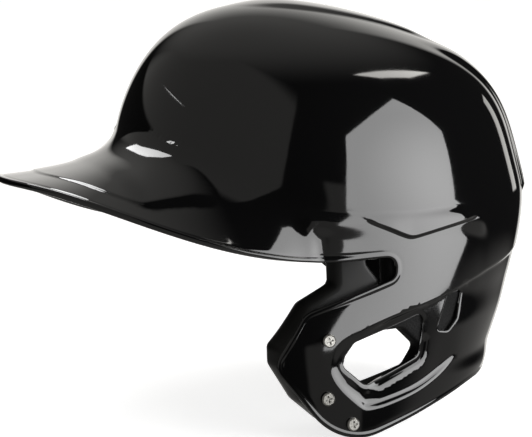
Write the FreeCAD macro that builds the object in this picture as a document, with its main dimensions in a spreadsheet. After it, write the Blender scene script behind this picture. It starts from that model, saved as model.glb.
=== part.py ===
import FreeCAD, Part
import math
import os
import Sketcher
from FreeCAD import Placement, Rotation, Vector

# Baseball batting helmet with one ear flap and a long jaw guard, all in millimetres.
# Frame: X towards the wearer's left (the flap side), Y towards the back, Z up.
# The origin lies on the mid-plane, level with the temple rim, where the head sits.

doc = FreeCAD.newDocument("batting_helmet")

# ---------------------------------------------------------------- driving dimensions
SIZES = [
    # shell form
    ("equator_height", 20.0), ("half_length", 120.5), ("half_width", 103.0), ("crown_rise", 111.0),
    ("crown_lean", -0.35), ("front_fullness", -0.23), ("rear_fullness", 0.80), ("side_fullness", 0.15),
    ("front_taper", 0.10), ("rear_taper", 0.62), ("taper_ease", 60.0), ("egg_shape", -0.04),
    ("jaw_flare", 20.0), ("jaw_reach", 85.0), ("jaw_flare_power", 2.5), ("jaw_flare_top", 2.0),
    ("jaw_flare_fall", 60.0), ("shell_wall", 3.2), ("skirt_bottom", -112.0),
    # bill
    ("bill_half_width", 96.0), ("bill_length", 150.0), ("bill_start", -46.0), ("bill_squareness", 2.1),
    ("bill_tip_height", 43.5), ("bill_temple_height", -4.5), ("bill_arch", 2.9), ("bill_arch_ease", 0.84),
    ("bill_root_front", 67.0), ("bill_root_side", 9.0), ("bill_root_power", 1.2), ("bill_centre", 30.0),
    ("bill_root_pull", 0.96), ("bill_edge_pull", 0.76), ("bill_edge_slope", 3.0), ("bill_side_slope", 30.0),
    ("bill_root_inset", 0.8), ("cut_start", 60.0),
    # liner layers, each measured inwards from the outside of the shell
    ("layer_gap", 0.4), ("foam_thickness", 9.0), ("comfort_thickness", 7.0), ("liner_plate", 2.5),
    ("jaw_pad_depth", 15.5), ("ear_pad_depth", 17.0), ("half_space", 160.0),
    # jaw guard fasteners
    ("screw_head_radius", 3.6), ("screw_head_height", 2.0), ("screw_radius", 1.9), ("screw_length", 10.0),
    ("recess_width", 1.0), ("recess_length", 4.0), ("recess_depth", 1.1), ("head_chamfer", 0.7),
    ("nut_flange_radius", 5.0), ("nut_flange", 1.2), ("nut_barrel_radius", 2.8), ("nut_barrel", 2.6),
    ("nut_bore_radius", 1.95), ("nut_seat", 6.5), ("shell_hole_radius", 2.3), ("shell_hole_start", 6.0),
    ("plate_hole_radius", 3.2),
    ("plate_hole_start", 3.5), ("plate_hole_length", 4.0),
    ("nut_pocket_radius", 6.0), ("nut_pocket_start", 5.0), ("nut_pocket_length", 7.0),
]
sheet = doc.addObject("Spreadsheet::Sheet", "Sizes")
for row, (alias, value) in enumerate(SIZES, start=1):
    sheet.set(f"A{row}", alias)
    sheet.set(f"B{row}", str(value))
    sheet.setAlias(f"B{row}", alias)
doc.recompute()


def size(alias):
    return float(sheet.get(alias))


WALL = size("shell_wall")
FOAM_OUT = WALL + size("layer_gap")
FOAM_IN = FOAM_OUT + size("foam_thickness")
COMFORT_OUT = FOAM_IN + size("layer_gap")
COMFORT_IN = COMFORT_OUT + size("comfort_thickness")
PLATE_OUT = WALL + size("layer_gap")
PLATE_IN = PLATE_OUT + size("liner_plate")
JAW_PAD_OUT = PLATE_IN + size("layer_gap")
JAW_PAD_IN = JAW_PAD_OUT + size("jaw_pad_depth")
EAR_PAD_IN = FOAM_OUT + size("ear_pad_depth")


# ---------------------------------------------------------------- the shell's form
def smooth_step(value):
    value = min(1.0, max(0.0, value))
    return value ** 3 * (value * (6.0 * value - 15.0) + 10.0)


def section(z, inset):
    """Front, rear and side half-widths of the form at height z, and its centre's Y."""
    above = z - size("equator_height")
    length = size("half_length") - inset
    width = size("half_width") - inset
    if above >= 0.0:
        rise = min(1.0, above / (size("crown_rise") - inset))
        shrink = math.sqrt(1.0 - rise * rise)
        bulge = rise * rise * (1.0 - rise * rise)
        front = length * shrink * (1.0 + size("front_fullness") * bulge)
        rear = length * shrink * (1.0 + size("rear_fullness") * bulge)
        side = width * shrink * (1.0 + size("side_fullness") * bulge)
        return front, rear, side, size("crown_lean") * above
    ease = size("taper_ease")
    drop = math.hypot(above, ease) - ease
    return length - size("front_taper") * drop, length - size("rear_taper") * drop, width, 0.0


def form_point(angle, z, inset=0.0):
    """A point of the form: angle 0 is the brow, 90 degrees the wearer's left."""
    front, rear, side, centre = section(z, inset)
    y = (rear - front) / 2.0 + centre - (front + rear) / 2.0 * math.cos(angle)
    x = side * math.sin(angle) * (1.0 + size("egg_shape") * math.cos(angle))
    if x > 0.0 and y < 0.0:
        reach = (-y / size("jaw_reach")) ** size("jaw_flare_power")
        fall = smooth_step((size("jaw_flare_top") - z) / size("jaw_flare_fall"))
        x += size("jaw_flare") * fall * reach * math.sin(angle)
    return Vector(x, y, z)


def form_solid(inset, seam=0.0):
    """The closed form, inset from the outside of the shell, lofted through level rings.

    The rings start at the seam angle, where the lofted face meets itself."""
    levels = [size("skirt_bottom") - inset, -95.0, -75.0, -55.0, -35.0, -18.0, 0.0]
    top_rise = size("crown_rise") - inset
    for degrees in (0.0, 14.0, 28.0, 41.0, 53.0, 64.0, 73.0, 80.0, 86.0):
        levels.append(size("equator_height") + top_rise * math.sin(math.radians(degrees)))
    count = 36
    knots = [index / count for index in range(count + 1)]
    rings = []
    for z in levels:
        points = [form_point(seam + 2.0 * math.pi * index / count, z, inset) for index in range(count)]
        ring = Part.BSplineCurve()
        ring.interpolate(Points=points, PeriodicFlag=True, Parameters=knots)
        rings.append(Part.Wire([ring.toShape()]))
    return Part.makeLoft(rings, True, False)


def surface_normal(angle, z):
    """The outward unit normal of the shell's outside."""
    step = 0.01
    along = form_point(angle + step, z) - form_point(angle - step, z)
    upward = form_point(angle, z + 1.0) - form_point(angle, z - 1.0)
    return along.cross(upward).normalize()


def side_angle(y, z):
    """The angle at which the left side of the form passes the given Y."""
    front, rear, side, centre = section(z, 0.0)
    return math.acos(((rear - front) / 2.0 + centre - y) / ((front + rear) / 2.0))


# ---------------------------------------------------------------- outlines
def rounded_edges(corners):
    """Lines and arcs for a closed outline given as (first, second, corner radius)."""
    pieces = []
    starts = []
    ends = []
    count = len(corners)
    for index in range(count):
        corner = Vector(corners[index][0], corners[index][1], 0)
        before = Vector(corners[index - 1][0], corners[index - 1][1], 0) - corner
        after = Vector(corners[(index + 1) % count][0], corners[(index + 1) % count][1], 0) - corner
        before.normalize()
        after.normalize()
        radius = corners[index][2]
        half = math.acos(max(-1.0, min(1.0, before.dot(after)))) / 2.0
        reach = radius / math.tan(half)
        start = corner + before * reach
        end = corner + after * reach
        if radius > 0.0:
            middle = (before + after).normalize() * (radius / math.sin(half) - radius)
            pieces.append(Part.Arc(start, corner + middle, end))
        starts.append(start)
        ends.append(end)
    for index in range(count):
        following = starts[(index + 1) % count]
        if ends[index].distanceToPoint(following) > 0.01:
            pieces.append(Part.LineSegment(ends[index], following))
    return pieces


SIDE_VIEW = Rotation(Vector(0, 1, 0), Vector(0, 0, 1), Vector(1, 0, 0), "XYZ")
FRONT_VIEW = Rotation(Vector(1, 0, 0), Vector(0, 0, 1), Vector(0, -1, 0), "XYZ")
TOP_VIEW = Rotation()


def outline_prism(name, corners, view, base, length):
    """A sketch of a rounded outline, extruded along the view's own normal."""
    sketch = doc.addObject("Sketcher::SketchObject", name + "_outline")
    sketch.Placement = Placement(base, view)
    sketch.addGeometry(rounded_edges(corners), False)
    prism = doc.addObject("Part::Extrusion", name + "_prism")
    prism.Base = sketch
    prism.DirMode = "Normal"
    prism.Solid = True
    prism.setExpression("LengthFwd", length)
    return prism


def feature(name, shape):
    item = doc.addObject("Part::Feature", name)
    item.Shape = shape
    item.Placement = Placement()
    return item


def cut(name, base, tool):
    item = doc.addObject("Part::Cut", name)
    item.Base = base
    item.Tool = tool
    return item


def common(name, base, tool):
    item = doc.addObject("Part::Common", name)
    item.Base = base
    item.Tool = tool
    return item


def fuse(name, shapes):
    item = doc.addObject("Part::MultiFuse", name)
    item.Shapes = shapes
    return item


nodes = []


def node(item, label):
    item.Label = label
    nodes.append(item)
    return item


# ---------------------------------------------------------------- outer shell
# Side outlines as (Y, Z, corner radius). The left one has the notch, the jaw guard and the ear flap.
JAW_TIP = (-81.4, -60.4, 10.0)
LEFT_OUTLINE = [
    (-150.0, 140.0, 0.0), (-150.0, 66.0, 0.0), (-126.0, 61.0, 0.0), (-100.0, 48.0, 0.0), (-70.0, 22.0, 0.0),
    (-46.0, -5.0, 6.0), (-11.2, -5.4, 5.4), (-11.2, -16.6, 5.4), (-62.6, -32.3, 12.0), JAW_TIP,
    (-47.9, -107.4, 34.0), (42.0, -83.5, 60.0), (150.0, -79.0, 0.0), (150.0, 140.0, 0.0),
]
RIGHT_OUTLINE = [
    (-150.0, 140.0, 0.0), (-150.0, 66.0, 0.0), (-126.0, 61.0, 0.0), (-100.0, 48.0, 0.0), (-70.0, 22.0, 0.0),
    (-46.0, -5.0, 6.0), (14.0, -8.0, 30.0), (80.0, -79.6, 12.0), (150.0, -79.0, 0.0), (150.0, 140.0, 0.0),
]
EAR_HOLE = [(-36.5, -50.0, 5.0), (7.5, -37.5, 4.0), (3.5, -62.5, 5.0), (-31.0, -74.5, 5.0), (-45.5, -61.0, 5.0)]
REAR_SLOT = [(23.6, -31.0, 1.5), (34.6, -29.2, 1.5), (29.6, -45.0, 2.0), (23.4, -51.0, 2.0), (15.8, -49.4, 2.0)]
SCREWS = [(-51.4, -47.4), (-53.7, -78.9), (-40.5, -94.1)]


def bill_edge(turn):
    """A point of the bill's upper edge: turn 0 is the tip, 90 degrees the left temple."""
    power = 2.0 / size("bill_squareness")
    across = abs(math.sin(turn)) ** power
    x = size("bill_half_width") * across * (1.0 if turn >= 0.0 else -1.0)
    y = size("bill_start") - size("bill_length") * abs(math.cos(turn)) ** power
    rise = max(0.0, 1.0 - across ** size("bill_arch")) ** size("bill_arch_ease")
    z = size("bill_temple_height") + (size("bill_tip_height") - size("bill_temple_height")) * rise
    return Vector(x, y, z)


def bill_line(turn, inset, count):
    """Points of the bill's upper face from its root on the dome out to its edge."""
    edge = bill_edge(turn)
    angle = math.atan2(edge.x, -(edge.y + size("bill_centre")))
    rise = max(0.0, math.cos(angle)) ** size("bill_root_power")
    root_z = size("bill_root_side") + (size("bill_root_front") - size("bill_root_side")) * rise
    root = form_point(angle, root_z, inset)
    fall = (root - form_point(angle, root_z + 2.0, inset)).normalize()
    outward = Vector(edge.x - root.x, edge.y - root.y, 0.0).normalize()
    slope = math.radians(size("bill_edge_slope") + size("bill_side_slope") * math.sin(angle) ** 2)
    level = (outward * math.cos(slope) + Vector(0, 0, -math.sin(slope))).normalize()
    start_pull = fall * ((edge - root).Length * size("bill_root_pull"))
    end_pull = level * ((edge - root).Length * size("bill_edge_pull"))
    points = []
    for index in range(count + 1):
        share = index / count
        square = share * share
        cube = square * share
        point = root * (2 * cube - 3 * square + 1) + start_pull * (cube - 2 * square + share)
        points.append(point + edge * (3 * square - 2 * cube) + end_pull * (cube - square))
    return points


def plate_solid(upper_rows, lower_rows):
    """A closed plate between two grids of points, with ruled faces round its edge."""
    upper = Part.BSplineSurface()
    upper.interpolate(upper_rows)
    lower = Part.BSplineSurface()
    lower.interpolate(lower_rows)
    faces = [upper.toShape(), lower.toShape()]
    u_first, u_last, v_first, v_last = upper.bounds()
    p_first, p_last, q_first, q_last = lower.bounds()
    sides = [
        (upper.uIso(u_first), lower.uIso(p_first)), (upper.uIso(u_last), lower.uIso(p_last)),
        (upper.vIso(v_first), lower.vIso(q_first)), (upper.vIso(v_last), lower.vIso(q_last)),
    ]
    for above, below in sides:
        faces.append(Part.makeRuledSurface(above.toShape(), below.toShape()))
    shell = Part.Shell(faces)
    shell.sewShape()
    solid = Part.Solid(shell)
    if solid.Volume < 0.0:
        solid.reverse()
    return solid


def bill_solid():
    """The bill as an arched plate, its root buried in the dome's wall."""
    count = 8
    step = 0.02
    quarter = math.pi / 2.0
    inset = size("bill_root_inset")
    upper_rows = []
    lower_rows = []
    for degrees in (-90, -82, -73, -63, -52, -40, -27, -14, 0, 14, 27, 40, 52, 63, 73, 82, 90):
        turn = math.radians(degrees)
        upper = bill_line(turn, inset, count)
        ahead = bill_line(min(turn + step, quarter), inset, count)
        behind = bill_line(max(turn - step, -quarter), inset, count)
        lower = []
        for index in range(count + 1):
            along = upper[min(count, index + 1)] - upper[max(0, index - 1)]
            inward = (ahead[index] - behind[index]).cross(along).normalize()
            depth = WALL * (0.5 + 0.5 * smooth_step(index / 3.0))
            lower.append(upper[index] + inward * depth)
        upper_rows.append(upper)
        lower_rows.append(lower)
    return plate_solid(upper_rows, lower_rows)


outer_form = feature("outer_form", form_solid(0.0))
inner_form = feature("inner_form", form_solid(WALL))
hollow = cut("hollow_form", outer_form, inner_form)
left_side = outline_prism("left_side", LEFT_OUTLINE, SIDE_VIEW, Vector(0, 0, 0), "Sizes.half_space")
right_start = Vector(-size("half_space"), 0, 0)
right_side = outline_prism("right_side", RIGHT_OUTLINE, SIDE_VIEW, right_start, "Sizes.half_space")
both_sides = fuse("both_sides", [left_side, right_side])
trimmed = common("trimmed_dome", hollow, both_sides)
bill = feature("bill_plate", bill_solid())
moulding = fuse("moulding", [trimmed, bill])


def inset_prism(name, corners, view, base=Vector(0, 0, 0)):
    return outline_prism(name, corners, view, base, "Sizes.half_space")


def screw_frame(y, z, depth=0.0):
    """A placement on the shell's outside whose Z points out along the surface's normal."""
    angle = side_angle(y, z)
    normal = surface_normal(angle, z)
    return Placement(form_point(angle, z) - normal * depth, Rotation(Vector(0, 0, 1), normal))


def bound_cylinder(name, radius, length, placement):
    item = doc.addObject("Part::Cylinder", name)
    item.setExpression("Radius", "Sizes." + radius)
    item.setExpression("Height", "Sizes." + length)
    item.Placement = placement
    return item


cut_start = Vector(size("cut_start"), 0, 0)
ear_hole = inset_prism("ear_hole", EAR_HOLE, SIDE_VIEW, cut_start)
rear_slot = inset_prism("rear_slot", REAR_SLOT, SIDE_VIEW, cut_start)
shell_holes = []
plate_holes = []
nut_pockets = []
for number, (y, z) in enumerate(SCREWS):
    start = screw_frame(y, z, size("shell_hole_start"))
    shell_holes.append(bound_cylinder(f"shell_hole_{number}", "shell_hole_radius", "screw_length", start))
    start = screw_frame(y, z, size("plate_hole_start") + size("plate_hole_length"))
    plate_holes.append(bound_cylinder(f"plate_hole_{number}", "plate_hole_radius", "plate_hole_length", start))
    start = screw_frame(y, z, size("nut_pocket_start") + size("nut_pocket_length"))
    nut_pockets.append(bound_cylinder(f"nut_pocket_{number}", "nut_pocket_radius", "nut_pocket_length", start))
shell_cuts = fuse("shell_cuts", [ear_hole, rear_slot] + shell_holes)
node(cut("shell", moulding, shell_cuts), "outer_shell")


# ---------------------------------------------------------------- jaw guard lining
JAW_REAR = [(-31.0, -93.0, 1.5), (-38.0, -87.0, 4.0), (-48.0, -74.0, 4.0), (-48.0, -60.0, 4.0)]
JAW_PLATE = [
    (-44.0, -30.5, 4.0), (-60.5, -35.0, 8.0), (-77.0, -60.4, 8.0), (-52.5, -98.0, 14.0), (-32.0, -98.0, 3.0),
] + JAW_REAR + [(-40.5, -48.0, 4.0), (-38.0, -40.0, 4.0)]
JAW_PAD = [
    (-41.0, 5.0, 4.0), (-41.5, -19.5, 3.0), (-58.0, -29.0, 6.0), (-74.0, -52.0, 6.0), (-74.0, -63.0, 6.0),
    (-65.0, -82.0, 8.0), (-51.0, -96.0, 10.0), (-32.0, -96.5, 3.0),
] + JAW_REAR + [(-40.5, -48.0, 4.0), (-18.0, -33.0, 3.0), (-16.5, -18.0, 2.0), (-23.0, -9.0, 3.0), (-23.0, 5.0, 4.0)]
EAR_PAD = [
    (-13.5, -2.0, 5.0), (34.0, 0.0, 12.0), (38.0, -70.0, 14.0), (6.0, -84.0, 10.0), (-24.0, -91.0, 6.0),
    (-34.0, -85.0, 5.0), (-45.0, -71.0, 3.0), (-45.0, -58.0, 3.0), (-37.0, -46.0, 4.0), (-13.5, -34.0, 4.0),
]
EAR_PAD_HOLE = [
    (-36.0, -47.0, 3.0), (-6.5, -47.0, 2.5), (5.5, -58.8, 2.0), (-1.5, -67.6, 2.0), (-28.0, -74.0, 3.0),
    (-41.5, -66.0, 2.5),
]


def layer(name, outer_inset, inner_inset, seam=0.0):
    outside = feature(name + "_outside", form_solid(outer_inset, seam))
    inside = feature(name + "_inside", form_solid(inner_inset, seam))
    return cut(name, outside, inside)


plate_layer = layer("plate_layer", PLATE_OUT, PLATE_IN)
jaw_layer = layer("jaw_layer", JAW_PAD_OUT, JAW_PAD_IN)
ear_layer = layer("ear_layer", FOAM_OUT, EAR_PAD_IN)
foam_layer = layer("foam_layer", FOAM_OUT, FOAM_IN)
comfort_layer = layer("comfort_layer", COMFORT_OUT, COMFORT_IN)
brow_foam_layer = layer("brow_foam_layer", FOAM_OUT, FOAM_IN, math.pi)
brow_comfort_layer = layer("brow_comfort_layer", COMFORT_OUT, COMFORT_IN, math.pi)

plate_blank = common("plate_blank", plate_layer, inset_prism("plate", JAW_PLATE, SIDE_VIEW))
node(cut("jaw_liner", plate_blank, fuse("plate_holes", plate_holes)), "jaw_guard_liner")
jaw_blank = common("jaw_blank", jaw_layer, inset_prism("jaw_pad", JAW_PAD, SIDE_VIEW))
node(cut("jaw_padding", jaw_blank, fuse("nut_pockets", nut_pockets)), "jaw_guard_pad")
ear_blank = common("ear_blank", ear_layer, inset_prism("ear_pad", EAR_PAD, SIDE_VIEW))
node(cut("ear_padding", ear_blank, inset_prism("ear_pad_hole", EAR_PAD_HOLE, SIDE_VIEW)), "ear_pad")


# ---------------------------------------------------------------- head liner
REAR_VIEW = Rotation(Vector(-1, 0, 0), Vector(0, 0, 1), Vector(0, 1, 0), "XYZ")
RIGHT_VIEW = Rotation(Vector(0, -1, 0), Vector(0, 0, 1), Vector(-1, 0, 0), "XYZ")


def mirrored(corners):
    """The same outline seen from the other side."""
    return [(-first, second, radius) for first, second, radius in reversed(corners)]


BROW = [(60.5, 53.5, 11.0), (60.5, 87.5, 11.0), (0.0, 99.0, 70.0), (-60.5, 87.5, 11.0), (-60.5, 53.5, 11.0),
        (0.0, 65.0, 54.0)]
BROW_COMFORT = [(57.0, 57.0, 10.0), (57.0, 85.0, 10.0), (0.0, 96.0, 80.0), (-57.0, 85.0, 10.0),
                (-57.0, 57.0, 10.0), (0.0, 69.0, 60.0)]
CROWN = [(42.0, -86.0, 34.0), (42.0, 22.0, 34.0), (-42.0, 22.0, 34.0), (-42.0, -86.0, 34.0)]
CROWN_COMFORT = [(38.0, -82.0, 31.0), (38.0, 18.0, 31.0), (-38.0, 18.0, 31.0), (-38.0, -82.0, 31.0)]
SIDE = [(-42.0, 11.0, 14.0), (48.0, 9.0, 14.0), (44.0, 78.0, 26.0), (-36.0, 82.0, 26.0)]
SIDE_COMFORT = [(-38.0, 15.0, 11.0), (44.0, 13.0, 11.0), (40.0, 74.0, 23.0), (-33.0, 78.0, 23.0)]
TEMPLE = [(-60.0, 27.0, 6.0), (-48.0, 27.0, 6.0), (-46.0, 76.0, 12.0), (-72.0, 76.0, 12.0), (-89.0, 52.0, 8.0)]
REAR = [(56.0, -4.0, 14.0), (56.0, 66.0, 24.0), (-56.0, 66.0, 24.0), (-56.0, -4.0, 14.0)]
REAR_COMFORT = [(52.0, 0.0, 11.0), (52.0, 62.0, 21.0), (-52.0, 62.0, 21.0), (-52.0, 0.0, 11.0)]
NAPE = [(46.0, -62.0, 12.0), (46.0, -12.0, 12.0), (-46.0, -12.0, 12.0), (-46.0, -62.0, 12.0)]
CROWN_BASE = Vector(0, 0, 60)


def liner_piece(label, source, corners, view, base=Vector(0, 0, 0)):
    return node(common(label + "_body", source, inset_prism(label, corners, view, base)), label)


liner_piece("brow_foam", brow_foam_layer, BROW, FRONT_VIEW)
liner_piece("brow_pad", brow_comfort_layer, BROW_COMFORT, FRONT_VIEW)
liner_piece("crown_foam", foam_layer, CROWN, TOP_VIEW, CROWN_BASE)
liner_piece("crown_pad", comfort_layer, CROWN_COMFORT, TOP_VIEW, CROWN_BASE)
liner_piece("left_side_foam", foam_layer, SIDE, SIDE_VIEW)
liner_piece("left_side_pad", comfort_layer, SIDE_COMFORT, SIDE_VIEW)
liner_piece("right_side_foam", foam_layer, mirrored(SIDE), RIGHT_VIEW)
liner_piece("right_side_pad", comfort_layer, mirrored(SIDE_COMFORT), RIGHT_VIEW)
liner_piece("left_temple_pad", foam_layer, TEMPLE, SIDE_VIEW)
liner_piece("right_temple_pad", foam_layer, mirrored(TEMPLE), RIGHT_VIEW)
liner_piece("rear_foam", foam_layer, REAR, REAR_VIEW)
liner_piece("rear_pad", comfort_layer, REAR_COMFORT, REAR_VIEW)
liner_piece("nape_pad", ear_layer, NAPE, REAR_VIEW)


# ---------------------------------------------------------------- jaw guard fasteners
def base_plane(body, role):
    return next(item for item in body.Origin.OriginFeatures if item.Role == role)


def flat_sketch(body, name, offset=None):
    """A sketch on the body's XY plane, raised by a sheet expression where one is given."""
    sketch = body.newObject("Sketcher::SketchObject", name)
    sketch.AttachmentSupport = (base_plane(body, "XY_Plane"), [""])
    sketch.MapMode = "FlatFace"
    if offset:
        sketch.setExpression("AttachmentOffset.Base.z", offset)
    return sketch


def circle_sketch(body, name, radius, offset=None):
    sketch = flat_sketch(body, name, offset)
    sketch.addGeometry(Part.Circle(Vector(0, 0, 0), Vector(0, 0, 1), size(radius)), False)
    sketch.addConstraint(Sketcher.Constraint("Coincident", 0, 3, -1, 1))
    index = sketch.addConstraint(Sketcher.Constraint("Radius", 0, size(radius)))
    sketch.setExpression(f"Constraints[{index}]", "Sizes." + radius)
    return sketch


def pad(body, name, sketch, length, downwards=False):
    item = body.newObject("PartDesign::Pad", name)
    item.Profile = sketch
    item.setExpression("Length", "Sizes." + length)
    item.Reversed = downwards
    return item


def cross_sketch(body, name, offset):
    """A plus-shaped outline for the driver recess."""
    sketch = flat_sketch(body, name, offset)
    arm = size("recess_length") / 2.0
    half = size("recess_width") / 2.0
    corners = [
        (arm, -half), (arm, half), (half, half), (half, arm), (-half, arm), (-half, half),
        (-arm, half), (-arm, -half), (-half, -half), (-half, -arm), (half, -arm), (half, -half),
    ]
    for index, (x, y) in enumerate(corners):
        after = corners[(index + 1) % len(corners)]
        sketch.addGeometry(Part.LineSegment(Vector(x, y, 0), Vector(after[0], after[1], 0)), False)
    return sketch


def jaw_screw(label, placement):
    body = doc.addObject("PartDesign::Body", label + "_body")
    pad(body, label + "_head", circle_sketch(body, label + "_head_circle", "screw_head_radius"),
        "screw_head_height")
    pad(body, label + "_shank", circle_sketch(body, label + "_shank_circle", "screw_radius"),
        "screw_length", True)
    doc.recompute()
    solid_volume = body.Shape.Volume
    recess = body.newObject("PartDesign::Pocket", label + "_recess")
    recess.Profile = cross_sketch(body, label + "_cross", "Sizes.screw_head_height")
    recess.setExpression("Length", "Sizes.recess_depth")
    doc.recompute()
    if body.Shape.Volume > solid_volume - 1.0:
        raise RuntimeError("The driver recess removed nothing")
    rim = body.newObject("PartDesign::Chamfer", label + "_rim")
    rim.Base = (recess, head_rim(recess.Shape))
    rim.setExpression("Size", "Sizes.head_chamfer")
    body.Tip = rim
    body.Placement = placement
    return node(body, label)


def head_rim(shape):
    """The name of the circular edge round the top of a screw's head."""
    for index, edge in enumerate(shape.Edges, start=1):
        top = abs(edge.BoundBox.ZMin - size("screw_head_height")) < 0.01
        if top and isinstance(edge.Curve, Part.Circle):
            return [f"Edge{index}"]
    raise RuntimeError("The screw's head has no rim")


def jaw_nut(label, placement):
    """A flanged barrel nut, drawn from the seat of its flange: barrel up, flange down."""
    body = doc.addObject("PartDesign::Body", label + "_body")
    pad(body, label + "_flange", circle_sketch(body, label + "_flange_circle", "nut_flange_radius"),
        "nut_flange", True)
    pad(body, label + "_barrel", circle_sketch(body, label + "_barrel_circle", "nut_barrel_radius"),
        "nut_barrel")
    doc.recompute()
    solid_volume = body.Shape.Volume
    bore = body.newObject("PartDesign::Pocket", label + "_bore")
    bore.Profile = circle_sketch(body, label + "_bore_circle", "nut_bore_radius")
    bore.Type = "ThroughAll"
    bore.Midplane = True
    doc.recompute()
    if body.Shape.Volume > solid_volume - 1.0:
        raise RuntimeError("The nut's bore removed nothing")
    body.Placement = placement
    return node(body, label)


for name, (y, z) in zip(("upper", "lower", "chin"), SCREWS):
    jaw_screw("jaw_screw_" + name, screw_frame(y, z))
    jaw_nut("jaw_nut_" + name, screw_frame(y, z, size("nut_seat")))


# ---------------------------------------------------------------- checks and export
doc.recompute()
for item in doc.Objects:
    if "Invalid" in item.State or "Error" in item.State:
        raise RuntimeError(f"{item.Name} failed to compute: {item.State}")
for item in nodes:
    if item.Shape.isNull() or not item.Shape.isValid() or not item.Shape.Solids:
        raise RuntimeError(f"{item.Label} has no valid solid")
os.makedirs("parts", exist_ok=True)
for item in nodes:
    item.Shape.exportStep(f"parts/{item.Label}.step")
    box = item.Shape.BoundBox
    corners = [round(value, 1) for value in (box.XMin, box.YMin, box.ZMin, box.XMax, box.YMax, box.ZMax)]
    print(item.Label, len(item.Shape.Solids), round(item.Shape.Volume / 1000.0, 2), corners)
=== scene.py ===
import math

import bpy
import numpy as np
from mathutils import Matrix, Vector, kdtree
from mathutils.geometry import delaunay_2d_cdt


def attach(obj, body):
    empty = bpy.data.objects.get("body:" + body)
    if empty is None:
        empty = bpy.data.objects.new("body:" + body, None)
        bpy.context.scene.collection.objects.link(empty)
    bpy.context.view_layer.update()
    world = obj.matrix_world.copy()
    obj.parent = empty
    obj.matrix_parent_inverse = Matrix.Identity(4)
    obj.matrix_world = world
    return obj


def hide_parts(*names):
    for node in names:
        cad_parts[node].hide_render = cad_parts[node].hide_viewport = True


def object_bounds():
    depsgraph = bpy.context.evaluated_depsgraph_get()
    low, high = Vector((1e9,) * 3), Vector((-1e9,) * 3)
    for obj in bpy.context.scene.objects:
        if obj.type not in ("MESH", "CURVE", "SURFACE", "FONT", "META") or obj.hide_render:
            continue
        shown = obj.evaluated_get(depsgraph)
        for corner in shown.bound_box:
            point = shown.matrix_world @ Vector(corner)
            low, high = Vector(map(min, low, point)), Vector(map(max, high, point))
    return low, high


# Batting helmet: the detailed shell, pads, materials and studio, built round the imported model.
# Shapes are worked out in millimetres in the model's own frame: X to the wearer's left,
# Y to the back, Z up. Meshes are written in metres.

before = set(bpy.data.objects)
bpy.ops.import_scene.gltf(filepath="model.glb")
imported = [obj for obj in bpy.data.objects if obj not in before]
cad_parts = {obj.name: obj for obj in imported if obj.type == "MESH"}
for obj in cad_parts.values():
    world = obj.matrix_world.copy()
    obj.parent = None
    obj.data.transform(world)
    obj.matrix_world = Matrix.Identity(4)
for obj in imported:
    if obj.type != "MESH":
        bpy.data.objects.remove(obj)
cad_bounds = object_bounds()

# ---------------- the shell's form, in millimetres
EQUATOR, CROWN = 20.0, 111.0
HALF_LENGTH, HALF_WIDTH = 120.5, 103.0
LEAN, LEAN_EASE = -0.35, 8.0
WALL = 3.2
RIM_LEVEL = -5.0
TEMPLE = math.radians(67.5)
BLEND_END = math.radians(84.0)
FLARE_FADE = math.radians(48.0)
BILL_WIDTH, BILL_LENGTH, BILL_START = 96.0, 150.0, -46.0
TIP_HEIGHT, TEMPLE_HEIGHT = 43.5, -4.5
ROOT_FRONT, ROOT_SIDE = 67.0, 9.0
STAND_OFF = 2.3  # how far the bill's edge stands off the dome at the temples
STEEP_FROM = 0.45  # radians from the brow, where the bill starts to turn down
EDGE_RADIUS = 1.0
FRONT_BULGE, REAR_BULGE, SIDE_BULGE = -0.23, 0.80, 0.15  # fullness half way up the dome
FRONT_TAPER, REAR_TAPER, TAPER_EASE = 0.10, 0.62, 60.0  # how the form draws in below the equator
NARROWING = 0.04  # the form is narrower at the brow and wider at the back by this share
JAW_FLARE, FLARE_TOP, FLARE_DROP, FLARE_REACH, FLARE_POWER = 20.0, 2.0, 60.0, 85.0, 2.5
PLAN_POWER, RISE_INNER, RISE_OUTER = 2.0 / 2.1, 2.9, 0.84  # the bill's outline from above and its arch
FAN_CENTRE, FAN_DRAW = 30.0, 23.8  # where the lines from the root to the edge start, ahead of the origin
DIP_FRONT, DIP_ROUND, DIP_SIDE = 3.0, 30.0, 52.0  # the bill's fall at its edge in degrees
ROOT_PULL, EDGE_PULL = 0.96, 0.76


def smooth_step(value):
    value = np.clip(value, 0.0, 1.0)
    return value ** 3 * (value * (6.0 * value - 15.0) + 10.0)


def slope(value, start, end):
    """0 at the start and 1 at the end, smooth between; a start past the end falls instead."""
    return smooth_step((value - start) / (end - start))


def section(z, inset):
    """Front, rear and side half-widths of the form at height z, and its centre's Y."""
    above = z - EQUATOR
    length, width = HALF_LENGTH - inset, HALF_WIDTH - inset
    rise = np.clip(above / (CROWN - inset), 0.0, 1.0)
    shrink = np.sqrt(1.0 - rise * rise)
    bulge = rise * rise * (1.0 - rise * rise)
    drop = np.hypot(np.minimum(above, 0.0), TAPER_EASE) - TAPER_EASE
    front = length * shrink * (1.0 + FRONT_BULGE * bulge) - FRONT_TAPER * drop
    rear = length * shrink * (1.0 + REAR_BULGE * bulge) - REAR_TAPER * drop
    side = width * shrink * (1.0 + SIDE_BULGE * bulge)
    centre = LEAN * (np.hypot(above, LEAN_EASE) + above) / 2.0
    return front, rear, side, centre


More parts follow.
